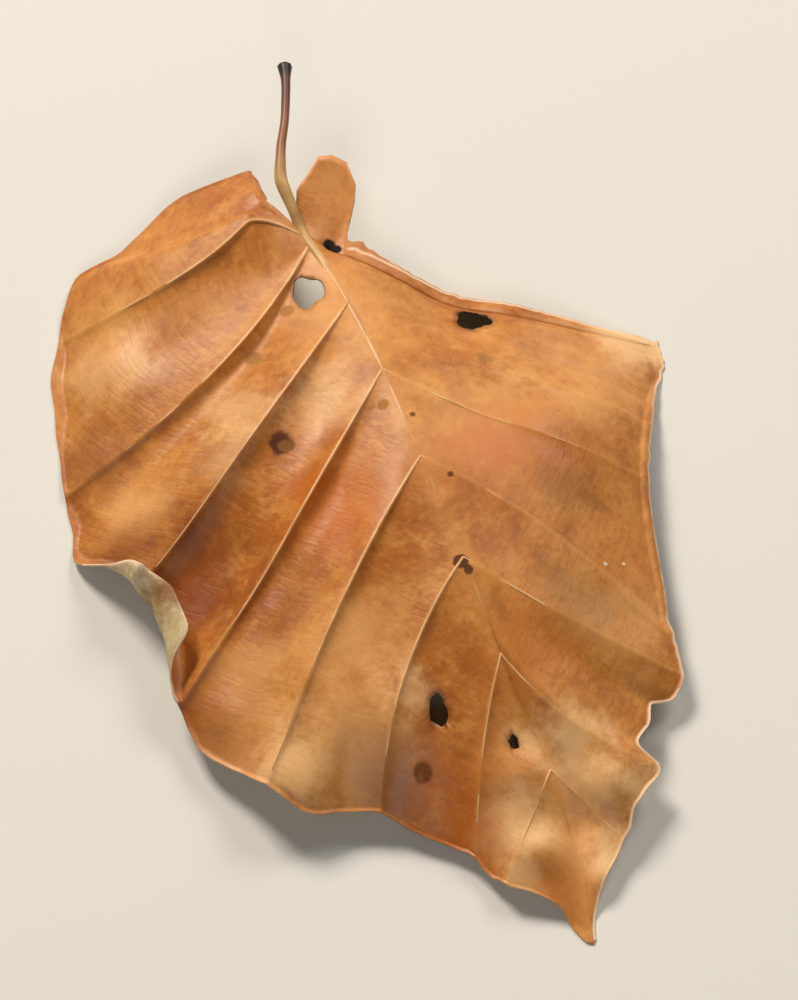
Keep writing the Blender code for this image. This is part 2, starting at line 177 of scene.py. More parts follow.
# The same past the basal edge, by the share of the way out from the stalk
LEFT_BASE_TURN = ((0.0, 0.4, 0.0), (0.1, 0.6, -20.0), (0.3, 1.2, -60.0), (0.7, 1.2, -60.0), (1.0, 0.4, 0.0))
RIGHT_BASE_TURN = (
    (0.0, 0.4, 0.0),
    (0.02, 5.3, 12.0),
    (0.034, 6.8, 18.0),
    (0.044, 9.2, 22.0),
    (0.058, 9.0, 24.0),
    (0.074, 6.8, 24.0),
    (0.088, 3.6, 18.0),
    (0.1, 1.8, 0.0),
    (0.14, 2.9, -50.0),
    (0.3, 3.6, -95.0),
    (0.5, 4.2, -105.0),
    (0.85, 2.2, -100.0),
    (1.0, 0.4, -10.0),
)
# Half the run that gives the direction of the margin, in vein numbers, and of the basal edge, in shares of
# the way out, and how far out and which way the lobe beside the stalk leans
MARGIN_STEP = 0.24
BASE_STEP = 0.04
LOBE_END = 0.07
LOBE_LEAN = Vector((-0.9, 1.0, 0.0))

# Local rises and hollows: x, y, radius, height
CRUMPLES = (
    (-4.6, 3.0, 4.5, 1.4),
    (-21.0, -31.0, 7.0, -1.6),
    (9.5, -10.5, 5.0, -2.2),
    (-23.3, -6.5, 4.0, 1.2),
    (15.0, -30.0, 7.0, 2.0),
    (22.0, -24.0, 4.5, 1.2),
    (-26.4, -46.0, 2.4, 0.7),
    (-22.9, -55.0, 3.0, 1.2),
    (-12.5, -53.0, 5.0, 1.2),
    (-1.3, -61.8, 2.4, 1.0),
    (6.4, -65.2, 2.4, 1.2),
    (-2.5, -69.0, 2.0, 0.9),
    (2.4, -67.4, 2.0, -0.7),
    (2.8, -73.0, 1.6, 0.6),
    (1.2, -1.5, 0.9, -0.9),
)

# Insect holes: x, y, half length, half width, turn in degrees
HOLES = (
    (-3.2, -6.6, 2.0, 1.5, 80.0),
    (11.4, -13.0, 1.7, 1.5, -30.0),
    (-7.1, -53.7, 1.5, 0.85, 80.0),
    (-1.3, -58.6, 0.75, 0.5, 80.0),
)
# How far a hole's outline strays in three bites and in five, as shares of its size, how far its lip lifts,
# and within how many of its own sizes a torn edge is its rim
RAGGED = 0.1
FINE_RAGGED = 0.06
HOLE_LIP = 0.05
HOLE_REACH = 2.0
# Where the painted highlight runs, a pale line for the light that catches the turned rims: past the right
# margin line, past the basal edge, and on the edge of the left curl
CREST_OUT = 1.9
CREST_BELOW_BASE = 0.4
CURL_EDGE_OUT = 2.0
CURL_START = 2.6

# Rows in each strip between two side veins, and rows past the basal edge
STRIP_ROWS = (44, 26, 30, 32, 32, 28, 26, 20, 24)
LOBE_ROWS = 14
# Columns from the midrib to the margin line, and past it
COLUMNS = 78
TURN_COLUMNS = 8
# How much closer together the rows lie beside a vein, and the columns beside the midrib and the margin
CROWDING = 0.5
COLUMN_CROWDING = 0.45

# Wrinkles of the tissue, by height and size
TISSUE_WRINKLE = 0.1
TISSUE_WRINKLE_SIZE = 3.6
# Small pleats cross each strip like the rungs of a ladder: their height on the left and on the right
LEFT_RUNG_PLEAT = 0.016
RIGHT_RUNG_PLEAT = 0.007
# How fast the left pleats pass into the right ones at the midrib
PLEAT_CHANGE = 6.0
# How far apart the rungs are, how much they slant with the way down the midrib, and how many lengths of them
# fit in a strip
RUNG_SPACING = 1.15
RUNG_SHEAR = 0.64
RUNGS_ACROSS_STRIP = 2.5


def knot_slope(knots, index, which):
    """Slope of one of the values along the run that starts at a knot."""
    start, end = knots[index], knots[index + 1]
    return (end[which] - start[which]) / (end[0] - start[0])


def limited_slope(knots, index, which):
    """Slope of one of the values at a knot, such that the curve doesn't overshoot."""
    last = len(knots) - 2
    before = knot_slope(knots, max(index - 1, 0), which)
    after = knot_slope(knots, min(index, last), which)
    if before * after <= 0.0:
        return 0.0
    return 2.0 * before * after / (before + after)


def value_at(knots, place):
    """Values at a place on the smooth curves through knots, each a place and its values."""
    span = 0
    while span < len(knots) - 2 and place > knots[span + 1][0]:
        span += 1
    width = knots[span + 1][0] - knots[span][0]
    share = min(max((place - knots[span][0]) / width, 0.0), 1.0)
    rest = 1.0 - share
    values = []
    for which in range(1, len(knots[0])):
        start_pull = knot_slope(knots, span, which) if span == 0 else limited_slope(knots, span, which)
        end_pull = limited_slope(knots, span + 1, which)
        level = knots[span][which] * (1.0 + 2.0 * share) * rest**2
        level += knots[span + 1][which] * (1.0 + 2.0 * rest) * share**2
        level += width * (start_pull * share * rest**2 - end_pull * share**2 * rest)
        values.append(level)
    return values


def margin_knots(strips):
    """The margin's points with their vein numbers, spread evenly over each strip."""
    return [
        (vein + index / len(strip), *point)
        for vein, strip in enumerate(strips)
        for index, point in enumerate(strip)
    ]


MARGINS = {-1: margin_knots(LEFT_MARGIN), 1: margin_knots(RIGHT_MARGIN)}
VEINS = {-1: LEFT_VEINS, 1: RIGHT_VEINS}
VEIN_CURVES = {
    side: [(number, bow, arch) for number, (bow, arch, depth, rise) in enumerate(veins)]
    for side, veins in VEINS.items()
}
TURNS = {-1: LEFT_TURN, 1: RIGHT_TURN}
BASE_TURNS = {-1: LEFT_BASE_TURN, 1: RIGHT_BASE_TURN}
ROOT_KNOTS = list(enumerate(VEIN_ROOTS))


def midrib_point(vein):
    """Point of the midrib where the vein of this number leaves it."""
    distance = value_at(ROOT_KNOTS, vein)[0]
    sideways, height = value_at(MIDRIB, distance)
    return Vector((sideways, -distance, height))


def square_to(before, after, side):
    """Level direction square to the run between two points, out of the blade."""
    return Vector((before.y - after.y, after.x - before.x, 0.0)).normalized() * side


def crumple(x, y):
    """Height of the local rises and hollows."""
    return sum(
        height * exp(-((x - middle_x) ** 2 + (y - middle_y) ** 2) / radius**2)
        for middle_x, middle_y, radius, height in CRUMPLES
    )


def hump(share):
    """Rise from 0 to 1 and back over a run."""
    return 4.0 * share * (1.0 - share)


def sag(side, vein, out):
    """Depth of the trough between two veins: it drops fast behind one vein and climbs slowly to the next."""
    number = min(int(vein), LAST_VEIN)
    phase = (vein - number) ** TROUGH_SKEW
    depth = VEINS[side][number][SAG_DEPTH]
    along = min(1.0, out / TROUGH_START) * (1.0 - TROUGH_LOSS * out)
    return depth * hump(phase) * along


def margin_point(side, vein):
    """Point of the margin line, slightly ragged."""
    place = Vector(value_at(MARGINS[side], vein))
    ragged = RAGGED_MARGIN * min(1.0, LAST_VEIN - vein)
    place.x += ragged * noise.noise(Vector((vein * NICKS_IN_STRIP, side, 1.0)))
    place.y += ragged * noise.noise(Vector((vein * NICKS_IN_STRIP, side, 5.0)))
    return place


def beside_base(root, vein, out):
    """Start of a left line and its share of the way, where the line first runs up to the corner."""
    fade = min(max((vein - 1.0) / (FAN_END - 1.0), 0.0), 1.0)
    pull = 1.0 - fade * fade * (3.0 - 2.0 * fade)
    corner = BASE_CORNER + CORNER_INSET * min(vein, 1.0)
    to_go = max(1.0 - out / CORNER_SHARE, 0.0)
    late = out * out * (1.0 + CORNER_SHARE) / (out + CORNER_SHARE)
    return root.lerp(corner, pull * (1.0 - to_go**2)), out + (late - out) * pull


def sheet_point(side, vein, out):
    """Point of the blade's middle surface inside the margin line."""
    start = midrib_point(vein)
    end = margin_point(side, vein)
    bow, arch = value_at(VEIN_CURVES[side], vein)
    reach = out
    if side < 0:
        start, reach = beside_base(start, vein, out)
    point = start.lerp(end, reach) - square_to(start, end, side) * bow * hump(reach)
    point.z += arch * hump(reach) - sag(side, vein, out) + crumple(point.x, point.y)
    return point


def turned(start, outward, length, degrees, share):
    """Point along an arc that leaves the margin line outwards and turns up by an angle."""
    if abs(degrees) < 1.0:
        return start + outward * length * share
    radius = length / radians(degrees)
    angle = radians(degrees) * share
    return start + outward * radius * sin(angle) + Vector((0.0, 0.0, radius * (1.0 - cos(angle))))


def margin_outward(side, vein):
    """Level direction that points out of the blade at the margin."""
    before = Vector(value_at(MARGINS[side], max(vein - MARGIN_STEP, 0.0)))
    after = Vector(value_at(MARGINS[side], min(vein + MARGIN_STEP, LAST_VEIN)))
    return square_to(before, after, side)


def base_outward(side, out):
    """Level direction that points out of the blade past its basal edge."""
    before = sheet_point(side, 0.0, max(out - BASE_STEP, 0.0))
    after = sheet_point(side, 0.0, min(out + BASE_STEP, 1.0))
    beside_stalk = max(0.0, 1.0 - out / LOBE_END)
    return (square_to(before, after, side) + LOBE_LEAN * beside_stalk).normalized()


def blade_point(side, vein, out):
    """Point of the blade's middle surface. Below vein 0 and past an out of 1 the edge turns."""
    inner_vein = max(vein, 0.0)
    inner_out = min(out, 1.0)
    point = sheet_point(side, inner_vein, inner_out)
    if out > 1.0:
        length, degrees = value_at(TURNS[side], inner_vein)
        point = turned(point, margin_outward(side, inner_vein), length, degrees, out - 1.0)
    if vein < 0.0:
        length, degrees = value_at(BASE_TURNS[side], inner_out)
        length *= 1.0 + RAGGED_LOBE * noise.noise(Vector((inner_out * NICKS_IN_BASE, side, 2.0)))
        point = turned(point, base_outward(side, inner_out), length, degrees, -vein)
    point.z = max(point.z, LOWEST_MIDDLE)
    return point


def crowded(share, crowding):
    """Share of a run, moved towards the nearer end."""
    return share - crowding * sin(2.0 * pi * share) / (2.0 * pi)


def row_numbers():
    """Vein numbers of the sheet's rows, crowded beside each side vein."""
    rows = [-1.0 + row / LOBE_ROWS for row in range(LOBE_ROWS)]
    for vein, count in enumerate(STRIP_ROWS):
        rows += [vein + crowded(row / count, CROWDING) for row in range(count)]
    return rows + [float(LAST_VEIN)]


def column_places():
    """Side and share of the way out for each column, from the left margin to the right."""
    outs = [crowded((column + 1) / COLUMNS, COLUMN_CROWDING) for column in range(COLUMNS)]
    outs += [1.0 + (column + 1) / TURN_COLUMNS for column in range(TURN_COLUMNS)]
    return [(-1, out) for out in reversed(outs)] + [(-1, 0.0)] + [(1, out) for out in outs]


def hole_radius(number, angle):
    """Share of a hole's size at which its ragged outline lies."""
    return 1.0 + RAGGED * sin(3.0 * angle + number) + FINE_RAGGED * sin(5.0 * angle + 2.0 * number)


def hole_place(number, point):
    """Angle and share of a hole's own size at which a point of the blade lies from its middle."""
    x, y, half_length, half_width, turn = HOLES[number]
    local = Matrix.Rotation(-radians(turn), 2) @ Vector((point.x - x, point.y - y))
    local = Vector((local.x / half_length, local.y / half_width))
    return atan2(local.y, local.x), local.length


def hole_point(number, angle, height):
    """Point of a hole's outline."""
    x, y, half_length, half_width, turn = HOLES[number]
    local = Vector((half_length * cos(angle), half_width * sin(angle))) * hole_radius(number, angle)
    local = Matrix.Rotation(radians(turn), 2) @ local
    return Vector((x + local.x, y + local.y, height))


def distance_finder(points):
    """A function that gives how far a place is from the nearest of some points."""
    tree = KDTree(len(points))
    for index, point in enumerate(points):
        tree.insert(point, index)
    tree.balance()
    return lambda place: tree.find(place)[2]


rows = row_numbers()
columns = column_places()
# Each point keeps its way out from the midrib in millimetres, its vein number and the height of its pleats
sheet = bmesh.new()
bmesh.ops.create_grid(sheet, x_segments=len(columns) - 1, y_segments=len(rows) - 1, size=1.0)
bmesh.ops.reverse_faces(sheet, faces=sheet.faces)
along_layer = sheet.verts.layers.float.new("along")
number_layer = sheet.verts.layers.float.new("number")
pleat_layer = sheet.verts.layers.float.new("pleat")
for index, vertex in enumerate(sheet.verts):
    row, column = divmod(index, len(columns))
    side, out = columns[column]
    vertex.co = blade_point(side, rows[row], out)
    vertex[number_layer] = rows[row]
    right_share = min(max(0.5 + side * out * PLEAT_CHANGE, 0.0), 1.0)
    vertex[pleat_layer] = LEFT_RUNG_PLEAT + (RIGHT_RUNG_PLEAT - LEFT_RUNG_PLEAT) * right_share
sheet.verts.ensure_lookup_table()
for row, number in enumerate(rows):
    middle = row * len(columns) + COLUMNS + TURN_COLUMNS
    start = value_at(ROOT_KNOTS, max(number, 0.0))[0] * RUNG_SHEAR
    for step in (-1, 1):
        travelled = start
        for column in range(1, COLUMNS + TURN_COLUMNS + 1):
            here = sheet.verts[middle + step * column]
            travelled += (here.co - sheet.verts[middle + step * (column - 1)].co).length
            here[along_layer] = travelled
    sheet.verts[middle][along_layer] = start

# Steps of the lines from which the colours fade: along a vein and the first of them, along a strip of the
# midrib or the margin, along the basal edge and the first of them, along the left curl, and round a hole
VEIN_LINE_STEPS, VEIN_START_STEP = 150, 5
STRIP_STEPS = 40
BASE_STEPS, BASE_START_STEP = 200, 24
CURL_STEPS = 280
HOLE_STEPS = 90

sheet.normal_update()
vein_lines = [
    blade_point(side, float(vein), step / VEIN_LINE_STEPS)
    for side in (-1, 1)
    for vein in range(1, LAST_VEIN)
    for step in range(VEIN_START_STEP, VEIN_LINE_STEPS + 1)
    if VEINS[side][vein][VEIN_RISE] > 0.0
]
midrib_line = [midrib_point(step / STRIP_STEPS) for step in range(STRIP_STEPS * LAST_VEIN)]
# Line of the painted highlight: the crests of the turned right rim and basal edge and the edge of the left
# curl, where the light catches them
lit_crest_line = [blade_point(1, step / STRIP_STEPS, CREST_OUT) for step in range(STRIP_STEPS * LAST_VEIN)]
lit_crest_line += [
    blade_point(1, -CREST_BELOW_BASE, step / BASE_STEPS) for step in range(BASE_START_STEP, BASE_STEPS + 1)
]
lit_crest_line += [
    blade_point(-1, CURL_START + step / BASE_STEPS, CURL_EDGE_OUT) for step in range(CURL_STEPS)
]
outer_margin = {vertex for vertex in sheet.verts if vertex.is_boundary}
hole_line = [
    hole_point(number, 2.0 * pi * step / HOLE_STEPS, 0.0)
    for number in range(len(HOLES))
    for step in range(HOLE_STEPS)
]
from_vein = distance_finder(vein_lines)
from_midrib = distance_finder(midrib_line)
from_lit_crest = distance_finder(lit_crest_line)
from_hole = distance_finder(hole_line)
distances = {
    "from_vein": from_vein,
    "from_midrib": from_midrib,
    "from_lit_crest": from_lit_crest,
    "from_hole": lambda place: from_hole(Vector((place.x, place.y, 0.0))),
}
for name, finder in distances.items():
    layer = sheet.verts.layers.float.new(name)
    for vertex in sheet.verts:
        vertex[layer] = finder(vertex.co)

# The wrinkles and the small pleats come last. Past the basal edge the vein number is below 0 and runs on
for vertex in sheet.verts:
    along, number = vertex[along_layer], vertex[number_layer]
    lift = TISSUE_WRINKLE * noise.noise(vertex.co / TISSUE_WRINKLE_SIZE)
    phase = number - floor(number)
    rung = noise.noise(Vector((along / RUNG_SPACING * 2.0, number * RUNGS_ACROSS_STRIP, 3.0)))
    lift += vertex[pleat_layer] * rung * hump(phase)
    vertex.co += vertex.normal * lift * min(1.0, LAST_VEIN - number)
    vertex.co.z = max(vertex.co.z, LOWEST_MIDDLE)

# The holes are cut out of the sheet, and their torn edges are drawn onto the outlines
bitten = []
for face in sheet.faces:
    middle = face.calc_center_median()
    for number in range(len(HOLES)):
        angle, reach = hole_place(number, middle)
        if reach < hole_radius(number, angle):
            bitten.append(face)
bmesh.ops.delete(sheet, geom=bitten, context="FACES")
for vertex in sheet.verts:
    if not vertex.is_boundary or vertex in outer_margin:
        continue
    for number in range(len(HOLES)):
        angle, reach = hole_place(number, vertex.co)
        if reach < HOLE_REACH:
            vertex.co = hole_point(number, angle, vertex.co.z + HOLE_LIP)

# Patterns that follow the veins read this map: the way out in millimetres and the vein number
vein_map = sheet.loops.layers.uv.new("vein_map")
for face in sheet.faces:
    for loop in face.loops:
        loop[vein_map].uv = (loop.vert[along_layer], loop.vert[number_layer])


def colour(hex_code):
    """Linear colour of an sRGB hex value."""
    channels = [int(hex_code[place:place + 2], 16) / 255.0 for place in (1, 3, 5)]
    linear = [value / 12.92 if value <= 0.04045 else ((value + 0.055) / 1.055) ** 2.4 for value in channels]
    return (*linear, 1.0)


def add_node(tree, kind, settings, inputs):
    """Add a node with its settings. Each input takes a value or another node's output."""
    node = tree.nodes.new(kind)
    for name, value in settings.items():
        setattr(node, name, value)
    for key, value in inputs.items():
        if isinstance(value, bpy.types.NodeSocket):
            tree.links.new(value, node.inputs[key])
        else:
            node.inputs[key].default_value = value
    return node


# Sockets of a Mix node that mixes colours
MIX_FACTOR, MIX_A, MIX_B, MIX_RESULT = 0, 6, 7, 2


def add_shade(tree, tone, source, low, high, amount, shade):
    """Lay a colour over a tone: none where the source is at its low value, its full amount at the high."""
    mask = add_node(
        tree, "ShaderNodeMapRange", {"interpolation_type": "SMOOTHSTEP"},
        {"Value": source, "From Min": low, "From Max": high, "To Max": amount},
    )
    return add_node(
        tree, "ShaderNodeMix", {"data_type": "RGBA"},
        {MIX_FACTOR: mask.outputs["Result"], MIX_A: tone, MIX_B: colour(shade)},
    ).outputs[MIX_RESULT]


# Patches with feathered outlines, partly the tissue's own uneven colour and partly painted light and shade,
# laid where the blade should look brighter or darker than the lamps make it. For each colour: x, y and radius
# in the leaf's frame, and how much of the colour takes
TONE_AND_PAINTED_LIGHT_PATCHES = {
    # tan: partly paler tissue, partly painted light that brightens parts turned from the lamp, as at the
    # drooping tip
    "#E8A866": (
        (-23.0, -3.5, 5.0, 0.45),
        (-1.0, -8.0, 6.0, 0.4),
        (6.0, -26.5, 5.0, 0.4),
        (20.0, -21.5, 7.0, 0.5),
        (12.0, -26.5, 4.0, 0.4),
        (-26.5, -21.5, 2.5, 0.6),
        (-23.5, -42.5, 3.0, 0.6),
        (-16.0, -54.0, 5.5, 0.7),
        (-10.5, -44.0, 3.5, 0.45),
        (1.5, -64.0, 6.0, 0.5),
        (3.0, 5.5, 5.0, 0.5),
        (-15.0, -46.0, 5.0, 0.45),
        (-25.0, -48.5, 4.0, 0.5),
        (0.0, -70.5, 4.0, 0.45),
        (13.0, -51.0, 4.0, 0.5),
    ),
    # pale: painted highlights and sheen, on the left lobe, the rising sides of the left strips, the crumples
    # at the tip and the right corner
    "#F6C890": (
        (-23.0, -6.0, 3.0, 0.35),
        (-6.0, -19.5, 3.0, 0.45),
        (-14.0, -17.0, 3.0, 0.4),
        (-17.0, -21.0, 2.5, 0.3),
        (-22.0, -53.5, 3.0, 0.5),
        (-9.0, -52.0, 2.0, 0.5),
        (-3.5, -66.0, 3.0, 0.65),
        (4.0, -60.0, 3.0, 0.55),
        (1.0, -59.0, 2.0, 0.45),
        (5.0, -65.0, 2.5, 0.45),
        (4.0, -71.5, 2.0, 0.8),
        (9.0, -66.0, 2.0, 0.6),
        (-4.5, -71.0, 1.5, 0.55),
        (26.0, -18.5, 3.0, 0.6),
    ),
    # orange: partly the tissue's own orange, partly painted shade over slopes that catch too much light
    "#C0641A": (
        (7.0, -31.5, 5.0, 0.5),
        (12.0, -31.5, 4.0, 0.35),
        (3.5, -50.0, 4.5, 0.35),
        (-8.0, -60.5, 4.0, 0.5),
        (-8.0, -66.0, 2.5, 0.5),
        (-2.5, -72.5, 2.5, 0.45),
        (-9.0, -30.0, 5.0, 0.65),
    ),
    # rust: partly the tissue's own dark tone, partly painted shade in the channel beside the left curl and
    # where the left margin turns from the light
    "#823C0C": (
        (-28.0, -44.0, 4.0, 0.6),
        (-28.0, -14.0, 3.0, 0.6),
        (-22.5, -29.5, 4.5, 0.75),
        (-22.5, -33.5, 2.5, 0.6),
        (-28.5, -25.0, 2.5, 0.55),
        (-17.5, -36.5, 4.0, 0.4),
        (-13.5, -58.5, 3.0, 0.5),
    ),
    # grey olive, where mould grew
    "#8E7448": (
        (12.0, -35.5, 3.0, 0.3),
        (9.5, -47.0, 3.5, 0.35),
    ),
}
# Small matt spots with clear outlines, given the same way. One of them, the pit beside the stalk, is painted
# shade
SPOTS = {
    # grey olive, where mould grew
    "#86683C": (
        (-10.4, -11.2, 1.2, 0.6),
        (-5.7, -7.6, 0.7, 0.5),
        (-1.3, -22.5, 0.6, 0.4),
        (10.1, -19.3, 1.0, 0.45),
    ),
    # dark scars, where insects fed
    "#4A220C": (
        (-11.6, -22.2, 1.5, 0.95),
        (-10.2, -58.1, 1.1, 0.65),
        (0.9, -24.8, 0.4, 0.8),
        (2.0, -32.3, 0.4, 0.8),
        (-0.3, -41.4, 0.8, 0.9),
        (0.1, -42.3, 0.5, 0.9),
    ),
    # the paler middle of two of them
    "#8A5A2C": ((-11.2, -22.5, 0.9, 0.7), (-10.6, -58.4, 0.4, 0.7)),
    # the pit beside the stalk: a near-black spot, painted shade that stands for the shadow in the hollow
    # there
    "#170A05": ((0.9, -1.2, 0.7, 1.0), (1.4, -1.9, 0.6, 1.0)),
    # pale specks
    "#EAD8BC": ((13.4, -43.9, 0.25, 0.9), (15.3, -43.9, 0.22, 0.9)),
}
# How far the outline of each patch and spot strays, and where it starts and where it is full, as shares of
# its radius
FEATHERED = (3.4, 0.1, -1.5)
CLEAR = (2.0, 0.0, -0.4)
# The place in the leaf's frame that comes to lie on the floor in the middle of the scene
CENTRE = Vector((-2.28, -30.03, LYING_DOWN))
# Patterns as repeats in a metre: blotches 13 mm across, uneven outlines of the patches 4 mm, mottles 3 mm.
# The grain is 0.7 mm with finer detail in it, coarser than the real cells of a twentieth of a millimetre, so
# that it shows
BLOTCHES, PATCH_OUTLINE, MOTTLES, GRAIN = 75.0, 240.0, 330.0, 1500.0
# Patterns that follow the veins, as repeats in a millimetre of the way out and in a strip between two veins:
# strokes 0.8 by 3 mm, rungs of the coarse net 0.8 mm apart and 3 mm long, and meshes of the fine net, 0.3 mm
STROKES, RUNGS, FINE_NET = (1.3, 3.2, 0.0), (1.25, 3.6, 0.0), (3.4, 30.0, 0.0)
# The skin is wax, and it is gone from the spots, which are matt
WAX_IOR = 1.45
SPOT_DULLNESS = 0.9
# How far the coarse net and the grain stand out, and how far light passes into the tissue, in metres
NET_RELIEF = 0.08 * MILLIMETRE
GRAIN_RELIEF = 0.06 * MILLIMETRE
LIGHT_DEPTH = 0.6 * MILLIMETRE


def leaf_tissue(name, tones, net_colour, vein_colour, dullness):
    """Dried beech leaf tissue: dead cells full of tannin under a thin waxy skin, so it is orange brown with a
    satin shine. The net of fine veins shows as darker lines with paler ones on the side veins."""
    material = bpy.data.materials.new(name)
    material.use_nodes = True
    tree = material.node_tree
    shader = tree.nodes["Principled BSDF"]
    place = add_node(tree, "ShaderNodeTexCoord", {}, {}).outputs["Object"]
    vein_place = add_node(tree, "ShaderNodeUVMap", {"uv_map": "vein_map"}, {}).outputs["UV"]
    scaled = [
        add_node(tree, "ShaderNodeVectorMath", {"operation": "MULTIPLY"}, {0: vein_place, 1: repeats})
        for repeats in (STROKES, RUNGS, FINE_NET)
    ]
    stroke_place, rung_place, fine_place = [node.outputs["Vector"] for node in scaled]
    blotch = add_node(tree, "ShaderNodeTexNoise", {}, {"Vector": place, "Scale": BLOTCHES, "Detail": 5.0})
    stroke = add_node(tree, "ShaderNodeTexNoise", {}, {"Vector": stroke_place, "Scale": 1.0, "Detail": 4.0})
    mottle = add_node(
        tree, "ShaderNodeTexNoise", {}, {"Vector": place, "Scale": MOTTLES, "Detail": 6.0, "Roughness": 0.62}
    )
    grain = add_node(tree, "ShaderNodeTexNoise", {}, {"Vector": place, "Scale": GRAIN, "Detail": 4.0})
    rungs = add_node(
        tree, "ShaderNodeTexVoronoi", {"feature": "DISTANCE_TO_EDGE"},
        {"Vector": rung_place, "Scale": 1.0, "Randomness": 0.7},
    )
    fine_net = add_node(
        tree, "ShaderNodeTexVoronoi", {"feature": "DISTANCE_TO_EDGE"},
        {"Vector": fine_place, "Scale": 1.0, "Randomness": 0.9},
    )
    # Colours laid over the first tone in turn: what each reads, where it starts, where it is full, how much
    # of it takes, and the colour
    masks = [
        (blotch.outputs["Fac"], 0.35, 0.62, 1.0, tones[1]),
        (stroke.outputs["Fac"], 0.5, 0.7, 0.24, tones[2]),
        (stroke.outputs["Fac"], 0.48, 0.3, 0.22, tones[3]),
        (mottle.outputs["Fac"], 0.5, 0.66, 0.5, tones[2]),
        (mottle.outputs["Fac"], 0.5, 0.32, 0.5, tones[3]),
        (rungs.outputs["Distance"], 0.1, 0.0, 0.08, net_colour),
        (fine_net.outputs["Distance"], 0.14, 0.0, 0.1, net_colour),
        (grain.outputs["Fac"], 0.54, 0.7, 0.3, tones[3]),
        (grain.outputs["Fac"], 0.46, 0.3, 0.25, tones[2]),
    ]
    # Along the veins, the midrib, the turned rims and the holes: the distance in millimetres where each is
    # full, where it ends, how much of it takes, and the colour. The pale line on the turned rims is a painted
    # highlight of the light that catches their crests
    for layer, near, far, amount, shade in (
        ("from_vein", 0.1, 0.4, 0.3, vein_colour),
        ("from_midrib", 0.3, 1.8, 0.25, vein_colour),
        ("from_lit_crest", 0.08, 0.36, 0.7, "#F2DCC0"),
        ("from_hole", 0.15, 0.7, 0.6, "#7A4018"),
        ("from_hole", 0.04, 0.22, 0.95, "#2A130A"),
    ):
        distance = add_node(tree, "ShaderNodeAttribute", {"attribute_name": layer}, {})
        masks.append((distance.outputs["Fac"], far, near, amount, shade))

    spread = add_node(
        tree, "ShaderNodeTexNoise", {},
        {"Vector": place, "Scale": PATCH_OUTLINE, "Detail": 6.0, "Roughness": 0.7},
    )
    flat_place = add_node(
        tree, "ShaderNodeVectorMath", {"operation": "MULTIPLY"}, {0: place, 1: (1.0, 1.0, 0.0)}
    ).outputs["Vector"]
    matt_masks = []
    # The patches, with their painted light and shade, and the spots, with the painted shade of the pit, are
    # laid in by their distance from their middles
    for marks_and_light, (stray, far, near) in ((TONE_AND_PAINTED_LIGHT_PATCHES, FEATHERED), (SPOTS, CLEAR)):
        for x, y, radius, amount, shade in [(*mark, shade) for shade in marks_and_light for mark in marks_and_light[shade]]:
            middle = (Vector((x, y, 0.0)) - CENTRE) * MILLIMETRE
            radius *= MILLIMETRE
            distance = add_node(
                tree, "ShaderNodeVectorMath", {"operation": "DISTANCE"},
                {0: flat_place, 1: (middle.x, middle.y, 0.0)},
            )
            reach = add_node(
                tree, "ShaderNodeMath", {"operation": "MULTIPLY_ADD"},
                {0: spread.outputs["Fac"], 1: -stray * radius, 2: distance.outputs["Value"]},
            )
            mask = (reach.outputs["Value"], far * radius, near * radius, amount, shade)
            masks.append(mask)
            if marks_and_light is SPOTS:
                matt_masks.append(mask[:3])

    tone = colour(tones[0])
    for mask in masks:
        tone = add_shade(tree, tone, *mask)
    tree.links.new(tone, shader.inputs["Base Color"])

    # The waxy skin is uneven, so the shine comes and goes. Light passes a little way into the dead cells
    # below it, red furthest
    roughness = add_node(
        tree, "ShaderNodeMapRange", {},
        {
            "Value": blotch.outputs["Fac"], "From Min": 0.3, "From Max": 0.7,
            "To Min": dullness - 0.07, "To Max": dullness + 0.1,
        },
    ).outputs["Result"]
    for source, low, high in matt_masks:
        roughness = add_node(
            tree, "ShaderNodeMapRange", {"interpolation_type": "SMOOTHSTEP"},
            {
                "Value": source, "From Min": low, "From Max": high,
                "To Min": roughness, "To Max": SPOT_DULLNESS,
            },
        ).outputs["Result"]
    tree.links.new(roughness, shader.inputs["Roughness"])
    shader.inputs["IOR"].default_value = WAX_IOR
    shader.inputs["Specular IOR Level"].default_value = 0.42
    shader.inputs["Metallic"].default_value = 0.0
    shader.inputs["Subsurface Weight"].default_value = 0.12
    shader.inputs["Subsurface Radius"].default_value = (1.0, 0.45, 0.2)
    shader.inputs["Subsurface Scale"].default_value = LIGHT_DEPTH
    net_height = add_node(
        tree, "ShaderNodeMapRange", {"interpolation_type": "SMOOTHSTEP"},
        {"Value": rungs.outputs["Distance"], "From Min": 0.0, "From Max": 0.2},
    )
    rung_bump = add_node(
        tree, "ShaderNodeBump", {},
        {"Height": net_height.outputs["Result"], "Strength": 0.14, "Distance": NET_RELIEF},
    )
    bump = add_node(
        tree, "ShaderNodeBump", {},
        {
            "Height": grain.outputs["Fac"], "Strength": 0.3, "Distance": GRAIN_RELIEF,
            "Normal": rung_bump.outputs["Normal"],
        },
    )
    tree.links.new(bump.outputs["Normal"], shader.inputs["Normal"])
    return material


upper_face = leaf_tissue(
    "dried_leaf_upper_face",
    tones=("#AE6220", "#C47C32", "#DA984A", "#904C16"),
    net_colour="#7E4010",
    vein_colour="#DEA058",
    dullness=0.45,
)
# The under face has less wax and more air among its cells, so it is paler, greener and duller
under_face = leaf_tissue(
    "dried_leaf_under_face",
    tones=("#947C42", "#C8B080", "#E6DAB8", "#6E5E28"),
    net_colour="#7A6234",
    vein_colour="#DCC79C",
    dullness=0.6,
)


